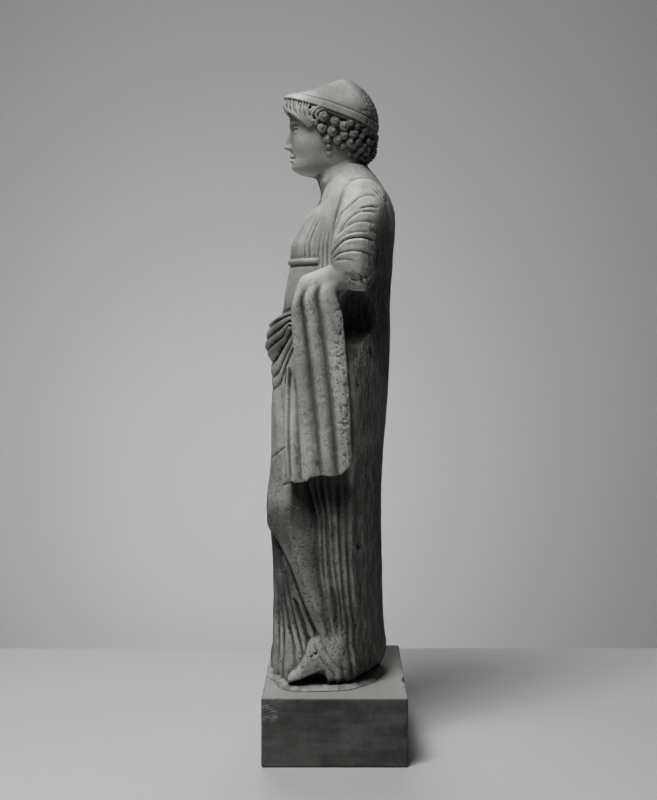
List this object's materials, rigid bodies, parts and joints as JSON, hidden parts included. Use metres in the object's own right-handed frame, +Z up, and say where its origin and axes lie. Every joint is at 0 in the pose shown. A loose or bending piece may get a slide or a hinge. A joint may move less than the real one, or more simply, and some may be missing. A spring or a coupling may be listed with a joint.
{
  "type": "standing female statue",
  "caption": "Standing draped woman carved in pale limestone, left forearm bent and hung with pleated cloth, set in a thin mortar bed on a plain block.",
  "frame": {"origin": "centre of the block's underside", "axes": "+Z up; the figure faces -Y, and its left side is at +X"},
  "size_m": [0.32, 0.222, 1.0556],
  "materials": {
    "limestone": "dry carved limestone, pitted, with tool marks on the back",
    "mortar": "rough pale plaster, trowelled thin",
    "block": "plain sawn block, dull, slightly stained"
  },
  "bodies": {
    "root": {"figure": "limestone", "bedding": "mortar", "plinth": "block"}
  },
  "joints": []
}
